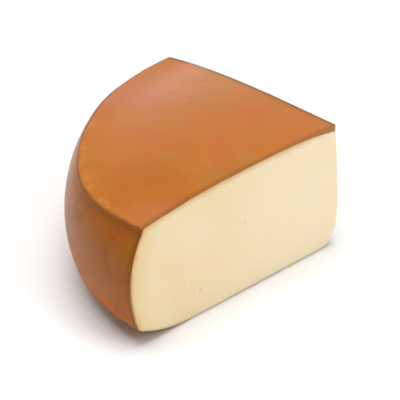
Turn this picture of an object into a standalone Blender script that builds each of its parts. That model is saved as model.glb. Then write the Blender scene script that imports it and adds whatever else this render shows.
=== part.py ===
# A quarter of a large cheese wheel with a domed top, a swelling side and two cut faces.
# Metres, +Z up. The wheel's axis is the tip of the quarter, which points to -Y.
import math

import bmesh
import bpy

# The wheel's section, as radius and height of each place on its outline
wheel_height = 0.0949
shoulder_radius = 0.1787
shoulder_height = 0.0856
swell_radius = 0.1921
swell_height = 0.0446
foot_radius = 0.1858
foot_height = 0.0135
flat_radius = 0.1329
dome_power = 3.35
foot_power = 1.91
shoulder_ease = 0.0022
foot_ease = 0.0030

# How the rim swings out and in: swings a turn, how far as a part of the radius,
# and the angle from the first cut at which it stands out furthest
shoulder_swings = ((4, 0.0251, math.radians(15.4)), (8, 0.0063, math.radians(17.0)))
swell_swings = ((4, 0.0184, math.radians(6.2)), (8, 0.0038, math.radians(21.8)))

# The two cuts, a little over a right angle apart
cut_angle = math.radians(93)
first_cut_angle = math.radians(90) + cut_angle / 2
second_cut_angle = math.radians(90) - cut_angle / 2
cut_bow = 0.0037
bow_sag = 0.5

# How much the tip edge is rounded, half way up and at its two ends
tip_rounding = 0.0034
tip_rounding_top = 0.0020
tip_rounding_low = 0.0137
top_fade_power = 8
low_fade_power = 6
cut_length = 0.225
over_cut = 0.012

# Fineness
turn_steps = 144
dome_points = 14
side_points = 13
base_points = 7
ease_points = 4
cut_columns = 22
cut_rows = 16
column_crowding = 1.7

rind_colour = (0.55, 0.19, 0.045, 1.0)
paste_colour = (0.88, 0.74, 0.47, 1.0)


def clear_scene():
    for thing in list(bpy.data.objects):
        bpy.data.objects.remove(thing, do_unlink=True)


def new_collection(name):
    collection = bpy.data.collections.new(name)
    bpy.context.scene.collection.children.link(collection)
    return collection


def new_material(name, colour, roughness):
    material = bpy.data.materials.new(name)
    material.use_nodes = True
    shader = material.node_tree.nodes["Principled BSDF"]
    shader.inputs["Base Color"].default_value = colour
    shader.inputs["Roughness"].default_value = roughness
    shader.inputs["Metallic"].default_value = 0.0
    material.diffuse_color = colour
    return material


def dome_height(radius):
    return wheel_height - (wheel_height - shoulder_height) * (radius / shoulder_radius) ** dome_power


def side_radius(height):
    if height > swell_height:
        rise = (height - swell_height) / (shoulder_height - swell_height)
        return swell_radius - (swell_radius - shoulder_radius) * rise**2
    fall = (swell_height - height) / (swell_height - foot_height)
    return swell_radius - (swell_radius - foot_radius) * fall**2


def base_height(radius):
    reach = max(0.0, (radius - flat_radius) / (foot_radius - flat_radius))
    return foot_height * reach**foot_power


def eased(before, corner, after):
    """Points on a curve that leaves one line for the other short of their corner."""
    points = []
    for step in range(ease_points):
        t = step / (ease_points - 1)
        radius = before[0] * (1 - t) ** 2 + 2 * corner[0] * t * (1 - t) + after[0] * t**2
        height = before[1] * (1 - t) ** 2 + 2 * corner[1] * t * (1 - t) + after[1] * t**2
        points.append((radius, height))
    return points


def wheel_profile():
    """The outline from the axis over the dome, down the side and back under the base."""
    dome_end = shoulder_radius - shoulder_ease
    side_top = shoulder_height - shoulder_ease
    side_low = foot_height + foot_ease
    base_end = foot_radius - foot_ease
    points = []
    for step in range(dome_points):
        radius = dome_end * (step / dome_points) ** 0.75
        points.append((radius, dome_height(radius)))
    points += eased(
        (dome_end, dome_height(dome_end)),
        (shoulder_radius, shoulder_height),
        (side_radius(side_top), side_top),
    )
    for step in range(1, side_points):
        height = side_top + (side_low - side_top) * step / side_points
        points.append((side_radius(height), height))
    points += eased(
        (side_radius(side_low), side_low),
        (foot_radius, foot_height),
        (base_end, base_height(base_end)),
    )
    for step in range(1, base_points):
        radius = base_end + (flat_radius - base_end) * step / base_points
        points.append((radius, base_height(radius)))
    points += [(flat_radius, 0.0), (flat_radius / 2, 0.0), (0.0, 0.0)]
    return points


def turned_wheel(collection):
    """The whole wheel, before its rim is made uneven."""
    mesh = bpy.data.meshes.new("wheel_profile")
    sketch = bmesh.new()
    corners = [sketch.verts.new((radius, 0.0, height)) for radius, height in wheel_profile()]
    for first, second in zip(corners, corners[1:]):
        sketch.edges.new((first, second))
    sketch.to_mesh(mesh)
    sketch.free()
    profile = bpy.data.objects.new("wheel_profile", mesh)
    collection.objects.link(profile)
    turn = profile.modifiers.new("turn", "SCREW")
    turn.axis = "Z"
    turn.angle = math.radians(360)
    turn.steps = turn_steps
    turn.render_steps = turn_steps
    turn.use_merge_vertices = True
    turn.merge_threshold = 0.00001
    bpy.context.view_layer.update()
    graph = bpy.context.evaluated_depsgraph_get()
    turned = bpy.data.meshes.new_from_object(profile.evaluated_get(graph))
    bpy.data.objects.remove(profile, do_unlink=True)
    return turned


def swing_sum(swings, turned):
    return sum(part * math.cos(count * (turned - peak)) for count, part, peak in swings)


def swung(angle, height):
    """The radius at this angle and height over that of an even wheel."""
    turned = first_cut_angle - angle
    rise = min(1.0, max(0.0, (height - swell_height) / (shoulder_height - swell_height)))
    share = rise**2 * (3 - 2 * rise)
    return 1 + share * swing_sum(shoulder_swings, turned) + (1 - share) * swing_sum(swell_swings, turned)


def make_uneven(mesh):
    for vertex in mesh.vertices:
        x, y, z = vertex.co
        radius = math.hypot(x, y)
        if radius == 0:
            continue
        swing = swung(math.atan2(y, x), z)
        vertex.co = (x * swing, y * swing, z)


def cut_stations():
    """Distances from the tip along a cut, closest together where it turns round the tip."""
    return [cut_length * (step / cut_columns) ** column_crowding for step in range(cut_columns + 1)]


def rounding_at(height):
    """The tip edge is rounded more towards the base and less towards the top."""
    level = min(1.0, max(0.0, height / wheel_height))
    top = (tip_rounding_top - tip_rounding) * level**top_fade_power
    low = (tip_rounding_low - tip_rounding) * (1 - level) ** low_fade_power
    return tip_rounding + top + low


def tip_shift(distance, rounding):
    """How far the rounding draws a cut face in, at this distance along it."""
    near = max(0.0, 1 - distance / rounding)
    return rounding / 4 * near**2


def cut_outline(bow, rounding):
    """The block's outline in plan: in along the first cut, round the tip, out along the second."""
    outline = []
    for distance in reversed(cut_stations()):
        shift = tip_shift(distance, rounding)
        fade = max(0.0, 1 - distance / cut_length) ** 2
        outline.append((distance + shift - bow * fade, shift - bow))
    for along, across in reversed(outline[:-1]):
        outline.append((across, along))
    outline.append((cut_length, cut_length))
    return outline


def in_plan(along, across):
    """From distances along the first cut and along the second to x and y."""
    x = along * math.cos(first_cut_angle) + across * math.cos(second_cut_angle)
    y = along * math.sin(first_cut_angle) + across * math.sin(second_cut_angle)
    return x, y


def bow_at(height):
    """How far the cut paste stands out at this height: most a little below half way up."""
    level = min(1.0, max(0.0, height / wheel_height)) ** bow_sag
    return cut_bow * 4 * level * (1 - level)


def block_heights():
    inside = [wheel_height * row / cut_rows for row in range(cut_rows + 1)]
    return [-over_cut] + inside + [wheel_height + over_cut]


def quarter_block(collection, material):
    """A block whose bowed sides are the two cuts: the wheel is kept where it meets this."""
    heights = block_heights()
    block = bmesh.new()
    station = block.verts.layers.int.new("station")
    ring = []
    for number, place in enumerate(cut_outline(0.0, rounding_at(heights[0]))):
        corner = block.verts.new((*in_plan(*place), heights[0]))
        corner[station] = number
        ring.append(corner)
    block.faces.new(ring)
    edges = list(block.edges)
    for height in heights[1:]:
        raised = bmesh.ops.extrude_edge_only(block, edges=edges)["geom"]
        edges = [item for item in raised if isinstance(item, bmesh.types.BMEdge)]
        places = cut_outline(bow_at(height), rounding_at(height))
        for corner in raised:
            if isinstance(corner, bmesh.types.BMVert):
                corner.co = (*in_plan(*places[corner[station]]), height)
    bmesh.ops.contextual_create(block, geom=edges)
    bmesh.ops.recalc_face_normals(block, faces=block.faces)
    mesh = bpy.data.meshes.new("quarter_block")
    block.to_mesh(mesh)
    block.free()
    mesh.materials.append(material)
    mesh.shade_smooth()
    cutter = bpy.data.objects.new("quarter_block", mesh)
    cutter.hide_render = True
    cutter.display_type = "WIRE"
    collection.objects.link(cutter)
    return cutter


def cut_from_wheel(wheel, block):
    cut = wheel.modifiers.new("cut", "BOOLEAN")
    cut.operation = "INTERSECT"
    cut.object = block
    cut.solver = "EXACT"
    cut.material_mode = "TRANSFER"


def centre_on_base(parent, part):
    """Moves the parent so that the middle of the part's box is over the origin."""
    bpy.context.view_layer.update()
    graph = bpy.context.evaluated_depsgraph_get()
    mesh = bpy.data.meshes.new_from_object(part.evaluated_get(graph))
    sides = [[vertex.co[axis] for vertex in mesh.vertices] for axis in range(3)]
    bpy.data.meshes.remove(mesh)
    middle_x = (min(sides[0]) + max(sides[0])) / 2
    middle_y = (min(sides[1]) + max(sides[1])) / 2
    parent.location = (-middle_x, -middle_y, -min(sides[2]))
    bpy.context.view_layer.update()


def main():
    clear_scene()
    parts = new_collection("fontina_quarter")
    cutters = new_collection("fontina_cutters")
    rind = new_material("rind", rind_colour, 0.38)
    paste = new_material("paste", paste_colour, 0.62)

    wheel_mesh = turned_wheel(parts)
    wheel_mesh.name = "fontina"
    make_uneven(wheel_mesh)
    wheel_mesh.materials.append(rind)
    wheel_mesh.shade_smooth()
    wheel_mesh.set_sharp_from_angle(angle=math.radians(35))
    wheel = bpy.data.objects.new("fontina", wheel_mesh)
    parts.objects.link(wheel)

    block = quarter_block(cutters, paste)
    cut_from_wheel(wheel, block)

    stand = bpy.data.objects.new("wheel_axis", None)
    parts.objects.link(stand)
    wheel.parent = stand
    block.parent = stand
    centre_on_base(stand, wheel)


main()
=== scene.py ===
import math

import bmesh
import bpy
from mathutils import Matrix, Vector, noise


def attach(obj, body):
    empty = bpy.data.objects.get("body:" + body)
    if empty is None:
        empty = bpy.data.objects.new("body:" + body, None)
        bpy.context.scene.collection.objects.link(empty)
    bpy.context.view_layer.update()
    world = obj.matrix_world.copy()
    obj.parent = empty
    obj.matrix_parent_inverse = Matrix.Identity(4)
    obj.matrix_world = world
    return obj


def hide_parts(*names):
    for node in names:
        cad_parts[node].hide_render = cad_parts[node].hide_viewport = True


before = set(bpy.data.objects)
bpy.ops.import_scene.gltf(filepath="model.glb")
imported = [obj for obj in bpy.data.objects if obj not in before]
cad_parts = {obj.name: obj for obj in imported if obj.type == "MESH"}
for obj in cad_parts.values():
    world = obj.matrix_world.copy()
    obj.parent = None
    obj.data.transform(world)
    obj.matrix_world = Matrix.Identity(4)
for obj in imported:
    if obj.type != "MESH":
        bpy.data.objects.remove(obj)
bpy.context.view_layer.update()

# the whole wheel that the quarter was cut from, in metres
wheel = {
    "height": 0.0949,
    "shoulderRadius": 0.1787,
    "shoulderHeight": 0.0856,
    "swellRadius": 0.1921,
    "swellHeight": 0.0446,
    "footRadius": 0.1858,
    "footHeight": 0.0135,
    "flatRadius": 0.1329,
    "domePower": 3.35,
    "footPower": 1.91,
    # swings of the rim: how many a turn, how far as a part of the radius, where from the first cut
    "shoulderSwings": ((4, 0.0251, math.radians(15.4)), (8, 0.0063, math.radians(17.0))),
    "swellSwings": ((4, 0.0184, math.radians(6.2)), (8, 0.0038, math.radians(21.8))),
}

# the two cuts and where the tip ends up in the frame
cuts = {
    "angle": math.radians(93),
    "bow": 0.00367,  # how far a cut face stands out
    "bowSag": 0.5,  # below 1 puts the most of it below half way up
    "reach": 0.225,  # from the tip to where the bow has died away
    "tipRounding": 0.0034,  # of the tip edge half way up, then at the top and the base
    "tipRoundingTop": 0.0020,
    "tipRoundingLow": 0.0137,
    "topFade": 8,  # how closely those two keep to the top and the base
    "lowFade": 6,
    "within": 1e-5,  # a place this near to a cut is on it
    "drawReach": 0.0030,  # how far from a cut its edges are drawn in
    "tipX": -0.00019541,
    "tipY": -0.09228994,
}
firstCut = math.radians(90) + cuts["angle"] / 2
secondCut = math.radians(90) - cuts["angle"] / 2


def deselectAll():
    if bpy.context.mode != "OBJECT":
        bpy.ops.object.mode_set(mode="OBJECT")
    bpy.ops.object.select_all(action="DESELECT")


def makeActive(piece):
    deselectAll()
    piece.select_set(True)
    bpy.context.view_layer.objects.active = piece


def editFaces(piece):
    makeActive(piece)
    bpy.ops.object.mode_set(mode="EDIT")
    bpy.ops.mesh.select_mode(type="FACE")
    bpy.ops.mesh.select_all(action="DESELECT")


def pickFaces(piece, test):
    shape = bmesh.from_edit_mesh(piece.data)
    for face in shape.faces:
        face.select = test(face)
    bmesh.update_edit_mesh(piece.data)


def objectMode():
    bpy.ops.object.mode_set(mode="OBJECT")


def applyModifier(piece, modifier):
    makeActive(piece)
    bpy.ops.object.modifier_apply(modifier=modifier.name)


rind = {
    "columns": 62,
    "rows": 46,
    "steps": 190,
    "crowding": 0.6,
    "thickness": 0.0010,
    "tipThickness": 0.0048,  # the rind turns down thickest over the tip
    "tipReach": 0.045,
    "baseThickness": 0.0005,
    "footReach": 0.020,  # in from the foot to where the rind is as thin as on the base
    "overlap": 0.00020,  # how far the rind goes into the paste
    "shoulderEase": 0.0016,  # how far from the corner its rounding starts
    "footEase": 0.0026,
    "sunk": 0.00003,  # all over, which keeps it within the solid
    "standOut": 0.00004,  # of its cut edges, past the paste
    "undulation": 0.00042,  # depths of the lumps, ripples, nicks and crease
    "ripple": 0.00016,
    "nick": 0.00016,
    "crease": 0.00030,
    "lumpSize": 0.050,
    "rippleSize": 0.011,
    "nickSize": 0.0045,
    "lipWidth": 0.0035,
    "creaseDrop": 0.0042,  # from the shoulder down to the middle of the crease
    "creaseWidth": 0.0021,
    "flatBelow": 0.0002,  # up to here the base rests flat on the floor
    "reliefRise": 0.004,  # over this height the relief comes in
    "smoothUnder": math.radians(50),  # sharper edges than this are shaded sharp
}


def topDepth(radius):
    near = max(0.0, 1 - radius / rind["tipReach"]) ** 2
    return rind["thickness"] + (rind["tipThickness"] - rind["thickness"]) * near


def footShare(radius):
    # 0 at the foot, 1 on the flat base
    return min(1.0, max(0.0, (wheel["footRadius"] - radius) / rind["footReach"]))


def baseDepth(radius):
    return rind["thickness"] + (rind["baseThickness"] - rind["thickness"]) * footShare(radius)


def domeHeight(radius):
    drop = wheel["height"] - wheel["shoulderHeight"]
    return wheel["height"] - drop * (radius / wheel["shoulderRadius"]) ** wheel["domePower"]


def sideRadius(height):
    if height > wheel["swellHeight"]:
        rise = (height - wheel["swellHeight"]) / (wheel["shoulderHeight"] - wheel["swellHeight"])
        return wheel["swellRadius"] - (wheel["swellRadius"] - wheel["shoulderRadius"]) * rise**2
    fall = (wheel["swellHeight"] - height) / (wheel["swellHeight"] - wheel["footHeight"])
    return wheel["swellRadius"] - (wheel["swellRadius"] - wheel["footRadius"]) * fall**2


def baseHeight(radius):
    past = max(0.0, (radius - wheel["flatRadius"]) / (wheel["footRadius"] - wheel["flatRadius"]))
    return wheel["footHeight"] * past ** wheel["footPower"]


def topLine(radius, inset):
    return domeHeight(min(radius, wheel["shoulderRadius"])) - inset * topDepth(radius)


def baseLine(radius, inset):
    return baseHeight(min(radius, wheel["footRadius"])) + inset * baseDepth(radius)


def sideLine(height, inset):
    return sideRadius(height) - inset * rind["thickness"]


def cornerShift(past, ease, corner, line, way, inset):
    # how far a corner of the section is drawn in, to round it;
    # past is below 0 on the dome or base, above 0 on the side
    if abs(past) >= ease:
        return Vector((0, 0))

    def spot(distance):
        if distance < 0:
            radius = sideLine(corner, inset) + distance
            return Vector((radius, line(radius, inset)))
        return Vector((sideLine(corner + way * distance, inset), corner + way * distance))

    t = (past + ease) / (2 * ease)
    return spot(-ease) * (1 - t) ** 2 + spot(0) * 2 * t * (1 - t) + spot(ease) * t**2 - spot(past)


def inSection(across, up, inset):
    # a unit square spread over the section: its right side is the rim, its top the dome
    top = wheel["shoulderHeight"] - inset * topDepth(wheel["shoulderRadius"])
    low = wheel["footHeight"] + inset * baseDepth(wheel["footRadius"])
    rimHeight = low + (top - low) * up
    radius = across * sideLine(rimHeight, inset)
    roof, floorLine = topLine(radius, inset), baseLine(radius, inset)
    place = Vector((radius, floorLine + (roof - floorLine) * up))
    inward = sideLine(rimHeight, inset) - radius
    for corner, ease, line, way, away in (
        (top, rind["shoulderEase"], topLine, -1, roof - place.y),
        (low, rind["footEase"], baseLine, 1, place.y - floorLine),
    ):
        fade = max(0.0, 1 - min(inward, away) / (2.5 * ease)) ** 2
        place = place + cornerShift(away - inward, ease, corner, line, way, inset) * fade
    return place


def turnedSection(name, columns, rows, steps, crowding, inset):
    # a sheet the shape of the section, spun round the wheel's axis from one cut to the other;
    # crowding draws its columns and rows together near its edges
    deselectAll()
    bpy.ops.mesh.primitive_grid_add(x_subdivisions=columns, y_subdivisions=rows, size=1)
    piece = bpy.context.active_object
    piece.name = name
    piece.data.name = name
    for vert in piece.data.vertices:
        across, up = (
            share - crowding * math.sin(2 * math.pi * share) / (2 * math.pi)
            for share in (vert.co.x + 0.5, vert.co.y + 0.5)
        )
        radius, height = inSection(across, up, inset)
        vert.co = (radius * math.cos(firstCut), radius * math.sin(firstCut), height)
    editFaces(piece)
    bpy.ops.mesh.select_all(action="SELECT")
    bpy.ops.mesh.spin(steps=steps, angle=cuts["angle"], center=(0, 0, 0), axis=(0, 0, 1))
    bpy.ops.mesh.select_all(action="SELECT")
    bpy.ops.mesh.remove_doubles(threshold=0.000002)
    bpy.ops.mesh.select_all(action="SELECT")
    bpy.ops.mesh.normals_make_consistent(inside=False)
    objectMode()
    return piece


def alongCuts(x, y):
    # distances along the two cuts, for a place measured from the wheel's axis
    turn = math.sin(firstCut - secondCut)
    along = (y * math.cos(secondCut) - x * math.sin(secondCut)) / turn
    across = (x * math.sin(firstCut) - y * math.cos(firstCut)) / turn
    return along, across


def fromCuts(along, across):
    x = along * math.cos(firstCut) + across * math.cos(secondCut)
    y = along * math.sin(firstCut) + across * math.sin(secondCut)
    return x, y


def swingSum(swings, turned):
    return sum(part * math.cos(count * (turned - peak)) for count, part, peak in swings)


def swung(x, y, z):
    turned = firstCut - math.atan2(y, x)
    rise = (z - wheel["swellHeight"]) / (wheel["shoulderHeight"] - wheel["swellHeight"])
    rise = min(1.0, max(0.0, rise))
    share = rise**2 * (3 - 2 * rise)
    high, low = swingSum(wheel["shoulderSwings"], turned), swingSum(wheel["swellSwings"], turned)
    return 1 + share * high + (1 - share) * low


def roundingAt(level):
    # the tip edge is rounded more towards the base and less towards the top
    middle = cuts["tipRounding"]
    top = (cuts["tipRoundingTop"] - middle) * level ** cuts["topFade"]
    return middle + top + (cuts["tipRoundingLow"] - middle) * (1 - level) ** cuts["lowFade"]


def nearness(distance, reach):
    # 1 at a cut, 0 this far from it and beyond
    return max(0.0, 1 - max(distance, 0) / reach)


def settled(place, draw):
    # the rim swings, the cuts bow out, the tip is rounded;
    # draw moves the cut edges in, or out where it is below 0
    x, y, z = place
    if abs(x) > 1e-7 or abs(y) > 1e-7:
        swing = swung(x, y, z)
        x, y = x * swing, y * swing
    along, across = alongCuts(x, y)
    level = min(1.0, max(0.0, z / wheel["height"]))
    rounding = roundingAt(level)
    shift = rounding / 4 * nearness(along, rounding) ** 2 * nearness(across, rounding) ** 2
    level = level ** cuts["bowSag"]
    bow = cuts["bow"] * 4 * level * (1 - level)
    settledPlace = [
        distance
        + shift
        - bow * max(0.0, 1 - distance / cuts["reach"]) ** 2
        + draw * nearness(distance, cuts["drawReach"])
        for distance in (along, across)
    ]
    return Vector((*fromCuts(*settledPlace), z))


def toFrame(place):
    return Vector((place.x + cuts["tipX"], place.y + cuts["tipY"], place.z))


def gentle(place, scale, seed):
    # smooth noise from -1 to 1, for lumps about this many metres across
    x, y, z = (part / scale for part in place)
    return noise.noise(Vector((x + seed, y - seed, z + 3 * seed)))


def storeValues(piece, name, values):
    layer = piece.data.attributes.new(name, "FLOAT", "POINT")
    layer.data.foreach_set("value", values)


paste = {
    "columns": 170,
    "rows": 84,
    "steps": 40,
    "crowding": 0.5,
    "waveHeight": 0.00022,
    "waveSize": 0.030,
    "fineWavePart": 0.3,
    "fineWaveSize": 0.009,
    "waveFade": 0.008,  # the tip edge is left plain
    "eyeReach": 1.6,  # how far round an eye its faces are made finer
    "eyeCuts": 3,
    "smoothUnder": math.radians(40),
}

# small eyes in the first cut and in the second: distance from the tip, height, width and depth
eyes = [
    [
        (0.0915, 0.0560, 0.0016, 0.0006),
        (0.1330, 0.0210, 0.0022, 0.0008),
        (0.1500, 0.0370, 0.0015, 0.0005),
        (0.1412, 0.0305, 0.0013, 0.0005),
        (0.1563, 0.0255, 0.0014, 0.0005),
        (0.0480, 0.0330, 0.0012, 0.0004),
        (0.1130, 0.0680, 0.0011, 0.0004),
    ],
    [
        (0.0700, 0.0610, 0.0015, 0.0006),
        (0.1250, 0.0400, 0.0021, 0.0008),
        (0.0980, 0.0240, 0.0014, 0.0005),
        (0.1520, 0.0560, 0.0012, 0.0005),
    ],
]


def nearEye(distance, height, onFirst, reach):
    for eyeDistance, eyeHeight, width, depth in eyes[0 if onFirst else 1]:
        away = math.hypot(distance - eyeDistance, height - eyeHeight) / width
        if away < reach:
            return away, depth
    return reach, 0.0


def cutRelief(place, distance, height, onFirst):
    # how far the cut paste stands out here: slow waves, less the small eyes
    relief = paste["waveHeight"] * gentle(place, paste["waveSize"], 4.0)
    relief += paste["waveHeight"] * paste["fineWavePart"] * gentle(place, paste["fineWaveSize"], 6.0)
    away, depth = nearEye(distance, height, onFirst, 1.0)
    return relief - depth * (1 - away**2) ** 2


def roundEye(face, onFirst):
    middle = face.calc_center_median()
    along, across = alongCuts(middle.x, middle.y)
    if (across if onFirst else along) > cuts["within"]:
        return False
    return nearEye(max(along, across), middle.z, onFirst, paste["eyeReach"])[0] < paste["eyeReach"]


def makePaste():
    piece = turnedSection("paste", paste["columns"], paste["rows"], paste["steps"], paste["crowding"], 1)
    editFaces(piece)
    for onFirst in (True, False):
        pickFaces(piece, lambda face: roundEye(face, onFirst))
        bpy.ops.mesh.subdivide(number_cuts=paste["eyeCuts"])
    objectMode()
    roofGap, sideGap, baseGap = [], [], []
    for vert in piece.data.vertices:
        radius = math.hypot(vert.co.x, vert.co.y)
        roofGap.append(topLine(radius, 0) - vert.co.z)
        sideGap.append(sideRadius(vert.co.z) - radius)
        baseGap.append(vert.co.z - baseHeight(radius))
    for vert in piece.data.vertices:
        along, across = alongCuts(vert.co.x, vert.co.y)
        onFirst = across < cuts["within"]
        onSecond = along < cuts["within"]
        distance, height = max(along, across), vert.co.z
        place = settled(vert.co, 0.0)
        if onFirst != onSecond:
            edge = firstCut if onFirst else secondCut
            outward = Vector((-math.sin(edge), math.cos(edge), 0)) * (1 if onFirst else -1)
            away = min(1.0, distance / paste["waveFade"]) ** 2
            place = place + outward * cutRelief(place, distance, height, onFirst) * away
        vert.co = toFrame(place)
    storeValues(piece, "roofGap", roofGap)
    storeValues(piece, "sideGap", sideGap)
    storeValues(piece, "baseGap", baseGap)
    makeActive(piece)
    bpy.ops.object.shade_smooth_by_angle(angle=paste["smoothUnder"])
    return piece


pasteBody = makePaste()
print("paste made,", len(pasteBody.data.polygons), "faces")


def onCut(face):
    gaps = [alongCuts(vert.co.x, vert.co.y) for vert in face.verts]
    return any(all(gap[side] < cuts["within"] for gap in gaps) for side in (0, 1))


def rindRelief(place, shoulderGap, baseShare):
    # lumps and ripples of the pressed skin, nicks round the top and a shallow crease under it
    lump = 0.5 + 0.5 * gentle(place, rind["lumpSize"], 2.0)
    ripple = 0.5 + 0.5 * gentle(place, rind["rippleSize"], 7.0)
    lip = math.exp(-((shoulderGap / rind["lipWidth"]) ** 2))
    nick = gentle(place, rind["nickSize"], 11.0) * rind["nick"]
    crease = math.exp(-(((shoulderGap + rind["creaseDrop"]) / rind["creaseWidth"]) ** 2)) * rind["crease"]
    relief = lip * nick - rind["sunk"] - rind["undulation"] * lump - rind["ripple"] * ripple - crease
    return relief * (1 - 0.75 * baseShare)


def makeRind():
    piece = turnedSection("rind", rind["columns"], rind["rows"], rind["steps"], rind["crowding"], 0)
    editFaces(piece)
    pickFaces(piece, onCut)
    bpy.ops.mesh.delete(type="FACE")
    objectMode()
    shoulderGap, cutGap, lowShare, depthShare = [], [], [], []
    for vert in piece.data.vertices:
        x, y, z = vert.co
        radius = math.hypot(x, y)
        # above 0 on the top, below 0 on the side and the base
        gap = z - wheel["shoulderHeight"]
        if z > wheel["footHeight"] + 0.001:
            gap = sideRadius(min(z, wheel["shoulderHeight"])) - radius - (topLine(radius, 0) - z)
        # 0 on the side and top, 1 on the flat base, eased across the foot
        share = footShare(radius) if z < wheel["footHeight"] else 0.0
        shoulderGap.append(gap)
        cutGap.append(max(0.0, min(alongCuts(x, y))))
        lowShare.append(share)
        depth = topDepth(radius) if gap > 0 else rind["thickness"]
        if share > 0:
            depth = baseDepth(radius)
        uneven = 1.5 + gentle(vert.co, 0.008, 13.0) + 0.8 * gentle(vert.co, 0.0035, 17.0)
        depth += rind["overlap"] * uneven * (1 - 0.6 * share)
        depthShare.append(depth / (2 * rind["tipThickness"]))
    normals = [vert.normal.copy() for vert in piece.data.vertices]
    for vert, normal, gap, share in zip(piece.data.vertices, normals, shoulderGap, lowShare):
        place = settled(vert.co, -rind["standOut"])
        if vert.co.z > rind["flatBelow"]:
            rise = min(1.0, vert.co.z / rind["reliefRise"])
            place = place + normal * rindRelief(place, gap, share) * rise
        vert.co = toFrame(place)
    storeValues(piece, "shoulderGap", shoulderGap)
    storeValues(piece, "cutGap", cutGap)
    storeValues(piece, "lowShare", lowShare)
    depths = piece.vertex_groups.new(name="depth")
    for vert, share in zip(piece.data.vertices, depthShare):
        depths.add([vert.index], share, "REPLACE")
    skin = piece.modifiers.new("skin", "SOLIDIFY")
    skin.thickness = 2 * rind["tipThickness"]
    skin.offset = -1
    skin.vertex_group = "depth"
    skin.use_even_offset = False
    applyModifier(piece, skin)
    makeActive(piece)
    bpy.ops.object.shade_smooth_by_angle(angle=rind["smoothUnder"])
    return piece


rindSkin = makeRind()
print("rind made,", len(rindSkin.data.polygons), "faces")


class Wire:
    # a socket that can be used in sums
    tree = None

    def __init__(self, socket):
        self.socket = socket

    @staticmethod
    def node(kind, settings, inputs, output=0):
        made = Wire.tree.nodes.new(kind)
        for key, value in settings.items():
            setattr(made, key, value)
        for key, value in inputs.items():
            if isinstance(value, Wire):
                Wire.tree.links.new(value.socket, made.inputs[key])
            else:
                made.inputs[key].default_value = value
        return Wire(made.outputs[output])

    def maths(self, operation, *others):
        return Wire.node("ShaderNodeMath", {"operation": operation}, dict(enumerate((self, *others))))

    def __add__(self, other):
        return self.maths("ADD", other)

    def __radd__(self, other):
        return self.maths("ADD", other)

    def __sub__(self, other):
        return self.maths("SUBTRACT", other)

    def __rsub__(self, other):
        return Wire.node("ShaderNodeMath", {"operation": "SUBTRACT"}, {0: other, 1: self})

    def __mul__(self, other):
        return self.maths("MULTIPLY", other)

    def __rmul__(self, other):
        return self.maths("MULTIPLY", other)

    def __pow__(self, other):
        return self.maths("POWER", other)


def startMaterial(name):
    material = bpy.data.materials.new(name)
    material.use_nodes = True
    Wire.tree = material.node_tree
    return material, material.node_tree.nodes["Principled BSDF"]


def feed(shader, name, value):
    Wire.tree.links.new(value.socket, shader.inputs[name])


def smooth(value, start, end):
    # 0 at start, 1 at end, eased between
    return Wire.node(
        "ShaderNodeMapRange",
        {"interpolation_type": "SMOOTHSTEP"},
        {"Value": value, "From Min": start, "From Max": end},
    )


def smallest(first, second):
    return first.maths("MINIMUM", second)


def noiseAt(place, scale, detail=2.0, roughness=0.5):
    return Wire.node(
        "ShaderNodeTexNoise",
        {},
        {"Vector": place, "Scale": scale, "Detail": detail, "Roughness": roughness},
    )


def wandering(place, scale, detail, reach, roughness=0.5):
    # noise that moves an edge by up to about reach either way
    return noiseAt(place, scale, detail, roughness) * (2 * reach) - reach


def blend(amount, first, second, kind="MIX"):
    # a colour mix's factor and its two colours are its sockets 0, 6 and 7
    settings = {"data_type": "RGBA", "blend_type": kind}
    return Wire.node("ShaderNodeMix", settings, {0: amount, 6: first, 7: second}, output=2)


def bumpFrom(height, finish):
    inputs = {"Height": height, "Distance": finish["bumpDepth"], "Strength": finish["bumpStrength"]}
    return Wire.node("ShaderNodeBump", {}, inputs)


def attribute(name):
    return Wire.node("ShaderNodeAttribute", {"attribute_name": name}, {}, output=2)


def objectPlace():
    return Wire.node("ShaderNodeTexCoord", {}, {}, output=3)


def alongAxis(place, axis):
    return Wire.node("ShaderNodeSeparateXYZ", {}, {0: place}, axis)


def awayFrom(place, middle):
    return Wire.node("ShaderNodeVectorMath", {"operation": "DISTANCE"}, {0: place, 1: middle}, 1)


pasteFinish = {
    "cream": (0.894, 0.738, 0.484, 1),
    "deeper": (0.873, 0.707, 0.422, 1),
    "peach": (0.760, 0.440, 0.205, 1),  # next to the rind
    "warm": (0.820, 0.620, 0.310, 1),  # further in, along the side
    "pale": (0.920, 0.775, 0.545, 1),  # towards the tip
    "grey": (0.640, 0.540, 0.380, 1),  # painted shadow, just over the base
    "roughness": 0.52,
    "bumpDepth": 0.00022,
    "bumpStrength": 0.6,
    "glow": 0.35,  # how much light goes into the paste, and how far
    "glowReach": (0.006, 0.0035, 0.0015),
}


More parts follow.
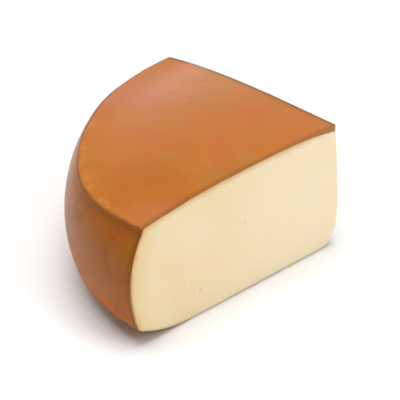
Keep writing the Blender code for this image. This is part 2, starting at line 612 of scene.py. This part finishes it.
def finishPaste():
    material, shader = startMaterial("pasteFinish")
    place = objectPlace()
    cloudy = noiseAt(place, 22, 3)
    colour = blend(smooth(cloudy, 0.35, 0.70), pasteFinish["cream"], pasteFinish["deeper"])
    wander = wandering(place, 110, 3, 0.0015)
    roofGap, sideGap = attribute("roofGap"), attribute("sideGap")
    pale = smooth(sideGap, 0.050, 0.150)
    colour = blend(pale * 0.8, colour, pasteFinish["pale"])
    warm = (1 - smooth(sideGap + wander, 0.0, 0.022)) * 0.85
    colour = blend(warm, colour, pasteFinish["warm"])
    tint = 1 - smooth(smallest(roofGap, sideGap) + wander, 0.0002, 0.0062)
    colour = blend(tint**1.2 * 0.95, colour, pasteFinish["peach"])
    # painted shadow: greyer just over the base
    baseShadow = 1 - smooth(attribute("baseGap"), 0.0, 0.0028)
    colour = blend(baseShadow * 0.5, colour, pasteFinish["grey"])
    feed(shader, "Base Color", colour)
    grain = noiseAt(place, 900, 3, 0.6)
    feed(shader, "Roughness", grain * 0.16 + (pasteFinish["roughness"] - 0.08))
    curd = noiseAt(place, 240, 4, 0.55)
    feed(shader, "Normal", bumpFrom(curd + grain * 0.35, pasteFinish))
    shader.inputs["Subsurface Weight"].default_value = pasteFinish["glow"]
    shader.inputs["Subsurface Radius"].default_value = pasteFinish["glowReach"]
    shader.inputs["Subsurface Scale"].default_value = 1.0
    shader.inputs["IOR"].default_value = 1.42
    shader.inputs["Specular IOR Level"].default_value = 0.35
    return material


rindFinish = {
    "orange": (0.400, 0.121, 0.0095, 1),
    "tan": (0.398, 0.134, 0.0150, 1),
    "red": (0.425, 0.103, 0.0150, 1),
    "ochre": (0.350, 0.122, 0.0090, 1),
    "vivid": (0.420, 0.112, 0.0060, 1),
    "pink": (0.440, 0.135, 0.0420, 1),  # the corner by the first cut
    "pinkPlace": (-0.1210, 0.0210, 0.0880),
    "backSheen": (0.420, 0.128, 0.0540, 1),  # painted sheen: a wide paler patch at the back of the top
    "backSheenPlace": (0.0600, 0.0450, 0.0900),
    "frontShade": (0.345, 0.100, 0.0040, 1),  # painted shade: a darker patch towards the front of the top, where less sheen falls
    "frontShadePlace": (-0.0782, 0.0340, 0.0885),
    "shoulderGlint": (0.520, 0.185, 0.0250, 1),  # painted highlight: lighter flecks over the shoulder, where its ridge catches the light
    "brown": (0.235, 0.066, 0.0060, 1),
    "sideBrownAndShade": (0.89, 0.82, 0.66, 1),  # the side is darker, partly its own browner skin and partly painted shade, and yellower low down
    # painted light: the lower side is made lighter, where it faces down and away from the lamps
    "lowPaintedLight": (1.32, 1.10, 0.44, 1),
    "sideSheen": (0.450, 0.205, 0.1500, 1),  # painted sheen: paler in the middle of the side
    "farEdgeShade": (0.130, 0.058, 0.0300, 1),  # painted shade: a dark band along the edges away from the first cut
    "under": (0.560, 0.330, 0.140, 1),  # the pale skin under the wheel
    "cutRim": (0.370, 0.165, 0.0380, 1),  # the rind's own thickness, over the paste and beside it
    "sideRim": (0.400, 0.215, 0.0900, 1),
    "roughness": 0.32,
    "bumpDepth": 0.00030,
    "bumpStrength": 0.3,
    "shineTint": (1.0, 0.72, 0.50, 1),
}

# patches all over the rind: noise scale, detail and roughness, where each starts and is full, strength
rindPatches = {
    "red": (34, 4, 0.5, 0.50, 0.66, 0.75),
    "ochre": (27, 3, 0.6, 0.52, 0.68, 0.70),
    "vivid": (19, 3, 0.6, 0.52, 0.66, 0.60),
}


def topColour(place, drift):
    colour = blend(smooth(noiseAt(place, 15, 3), 0.38, 0.62), rindFinish["orange"], rindFinish["tan"])
    for name, (scale, detail, roughness, start, full, strength) in rindPatches.items():
        patch = noiseAt(place, scale, detail, roughness)
        colour = blend(smooth(patch, start, full) * strength, colour, rindFinish[name])
    for name, edge, inner, outer, strength in (
        ("pink", wandering(place, 70, 2, 0.008), 0.006, 0.030, 0.75),
        # painted sheen at the back of the top
        ("backSheen", drift, 0.004, 0.058, 0.75),
        # painted shade towards the front of the top
        ("frontShade", drift, 0.002, 0.050, 0.60),
    ):
        away = awayFrom(place, rindFinish[name + "Place"]) + edge
        colour = blend((1 - smooth(away, inner, outer)) * strength, colour, rindFinish[name])
    speckle = noiseAt(place, 330, 2, 0.6)
    return blend(smooth(speckle, 0.56, 0.74) * 0.12, colour, rindFinish["brown"])


def finishRind():
    material, shader = startMaterial("rindFinish")
    place = objectPlace()
    x, height = alongAxis(place, 0), alongAxis(place, 2)
    shoulder, low, gap = attribute("shoulderGap"), attribute("lowShare"), attribute("cutGap")
    drift = wandering(place, 24, 4, 0.040, 0.6)
    wander = wandering(place, 260, 3, 0.0030, 0.65)
    below = smooth(0 - shoulder, 0.0, 0.004)  # 1 under the shoulder
    worn = 1 - smooth(x, -0.09, 0.05)  # 1 by the far end of the first cut

    colour = topColour(place, drift)
    # painted highlight: lighter flecks just over the shoulder, where its ridge catches the light
    glint = smooth(noiseAt(place, 150, 3, 0.6), 0.44, 0.62)
    glint *= smooth(shoulder, -0.0002, 0.0010) * (1 - smooth(shoulder, 0.0025, 0.0075))
    glint *= smooth(awayFrom(place, rindFinish["pinkPlace"]), 0.012, 0.045)
    colour = blend(glint * 0.5, colour, rindFinish["shoulderGlint"])

    # the side
    # painted shade over the side, part of it the side's own browner skin; painted light low down
    tint = blend(smooth(height, 0.014, 0.052), rindFinish["lowPaintedLight"], rindFinish["sideBrownAndShade"])
    colour = blend(below, colour, tint, "MULTIPLY")
    streak = noiseAt(place, 38, 4, 0.65)
    colour = blend(below * smooth(streak, 0.46, 0.64) * 0.42, colour, rindFinish["brown"])
    # painted sheen: paler in the middle of the side
    middle = smooth(x + drift, -0.110, -0.015) * (1 - smooth(x + drift, 0.030, 0.150))
    colour = blend(below * middle * 0.25, colour, rindFinish["sideSheen"])
    # painted shade: a dark band in the crease under the shoulder
    edge = shoulder + wander
    crease = smooth(edge, -0.0110, -0.0014) * (1 - smooth(edge, -0.0010, 0.0008))
    colour = blend(crease * 0.85, colour, rindFinish["brown"])
    # painted shade: darker in a band just above the foot, where the side turns under
    foot = (1 - smooth(height, 0.0125, 0.0215)) * (1 - low)
    colour = blend(foot * 0.40, colour, rindFinish["brown"])

    # painted shade in bands along the cuts and the far edges; the skin under the wheel, the rind's own
    # thickness
    # painted shade where the rind rounds over at the cuts
    nearCut = 1 - smooth(gap + wander, 0.0006, 0.0050)
    upper = smooth(shoulder, -0.045, -0.005)
    colour = blend(nearCut * (below * upper * 0.26 + 0.66), colour, rindFinish["brown"])
    # painted shade: darker along the edges away from the first cut
    nearEdge = 1 - smooth(smallest(gap, shoulder.maths("ABSOLUTE")), 0.0004, 0.0034)
    colour = blend(nearEdge * smooth(x, -0.03, 0.05) * 0.9, colour, rindFinish["farEdgeShade"])
    colour = blend(low * 0.8, colour, rindFinish["under"])
    rim = blend(below, rindFinish["cutRim"], rindFinish["sideRim"])
    colour = blend((1 - smooth(gap, 0.0, 0.00012)) * (1 - low), colour, rim)
    feed(shader, "Base Color", colour)

    fine = noiseAt(place, 420, 3, 0.6)
    scuff = smooth(noiseAt(place, 30, 3, 0.6), 0.50, 0.75)
    dull = (1 - smooth(height, 0.004, 0.060)) * (worn * 0.12 + 0.10)
    dull += (1 - smooth(shoulder, 0.006, 0.040)) * (1 - below) * 0.24
    uneven = fine * 0.03 + scuff * 0.06 + dull + worn * 0.08
    feed(shader, "Roughness", uneven + (rindFinish["roughness"] - 0.03))
    lumps = noiseAt(place, 130, 3)
    feed(shader, "Normal", bumpFrom(lumps + fine * 0.06, rindFinish))
    shader.inputs["IOR"].default_value = 1.46
    shader.inputs["Specular IOR Level"].default_value = 0.30
    shader.inputs["Specular Tint"].default_value = rindFinish["shineTint"]
    return material


pasteBody.data.materials.append(finishPaste())
rindSkin.data.materials.append(finishRind())
print("finishes made")

studio = {
    "floorSize": 6,
    "floorColour": (0.83, 0.83, 0.83, 1),
    "floorRoughness": 0.9,
    "lampAim": (0, 0, 0.05),
    "worldColour": (1.0, 1.0, 1.0, 1),
    "worldStrength": 0.10,
}

lamps = {
    "keyPanel": {"place": (-0.65, -1.25, 1.05), "size": (1.1, 1.1), "power": 12.3},
    "topPanel": {"place": (-0.1, 0.1, 1.7), "size": (1.5, 1.5), "power": 34.0},
    "lowBackPanel": {"place": (2.0, 0.38, 0.52), "size": (2.2, 0.5), "power": 8.7},
    "leftPanel": {"place": (0.9, 1.7, 1.0), "size": (1.5, 0.9), "power": 9.5},
}

view = {
    "place": (-0.92183, -0.03952, 0.54974),
    "aim": (-0.0206, 0.00088, 0.0445),
    "lens": 133.81,
    "sensor": 36,
}


def makeFloor():
    deselectAll()
    bpy.ops.mesh.primitive_plane_add(size=studio["floorSize"], location=(0, 0, 0))
    floor = bpy.context.active_object
    floor.name = "floor"
    material, shader = startMaterial("floorFinish")
    shader.inputs["Base Color"].default_value = studio["floorColour"]
    shader.inputs["Roughness"].default_value = studio["floorRoughness"]
    floor.data.materials.append(material)


def makeLight(name, settings):
    light = bpy.data.lights.new(name, "AREA")
    light.shape = "RECTANGLE"
    light.size, light.size_y = settings["size"]
    light.energy = settings["power"]
    lamp = bpy.data.objects.new(name, light)
    lamp.location = settings["place"]
    toward = Vector(studio["lampAim"]) - lamp.location
    lamp.rotation_euler = toward.to_track_quat("-Z", "Y").to_euler()
    lamp.visible_camera = False
    bpy.context.scene.collection.objects.link(lamp)


def makeWorld():
    world = bpy.data.worlds.new("studio")
    world.use_nodes = True
    background = world.node_tree.nodes["Background"]
    background.inputs["Color"].default_value = studio["worldColour"]
    background.inputs["Strength"].default_value = studio["worldStrength"]
    bpy.context.scene.world = world


def makeCamera():
    lens = bpy.data.cameras.new("camera")
    lens.lens = view["lens"]
    lens.sensor_width = view["sensor"]
    lens.clip_start = 0.01
    camera = bpy.data.objects.new("camera", lens)
    camera.location = view["place"]
    toward = Vector(view["aim"]) - Vector(view["place"])
    camera.rotation_euler = toward.to_track_quat("-Z", "Y").to_euler()
    bpy.context.scene.collection.objects.link(camera)
    bpy.context.scene.camera = camera


makeFloor()
for lampName, lampSettings in lamps.items():
    makeLight(lampName, lampSettings)
makeWorld()
makeCamera()
bpy.context.scene.view_settings.view_transform = "Standard"
bpy.context.scene.view_settings.look = "None"
print("floor, light and camera made")

for piece, slot in ((pasteBody, "paste"), (rindSkin, "rind")):
    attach(piece, "root")
    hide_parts("fontina")
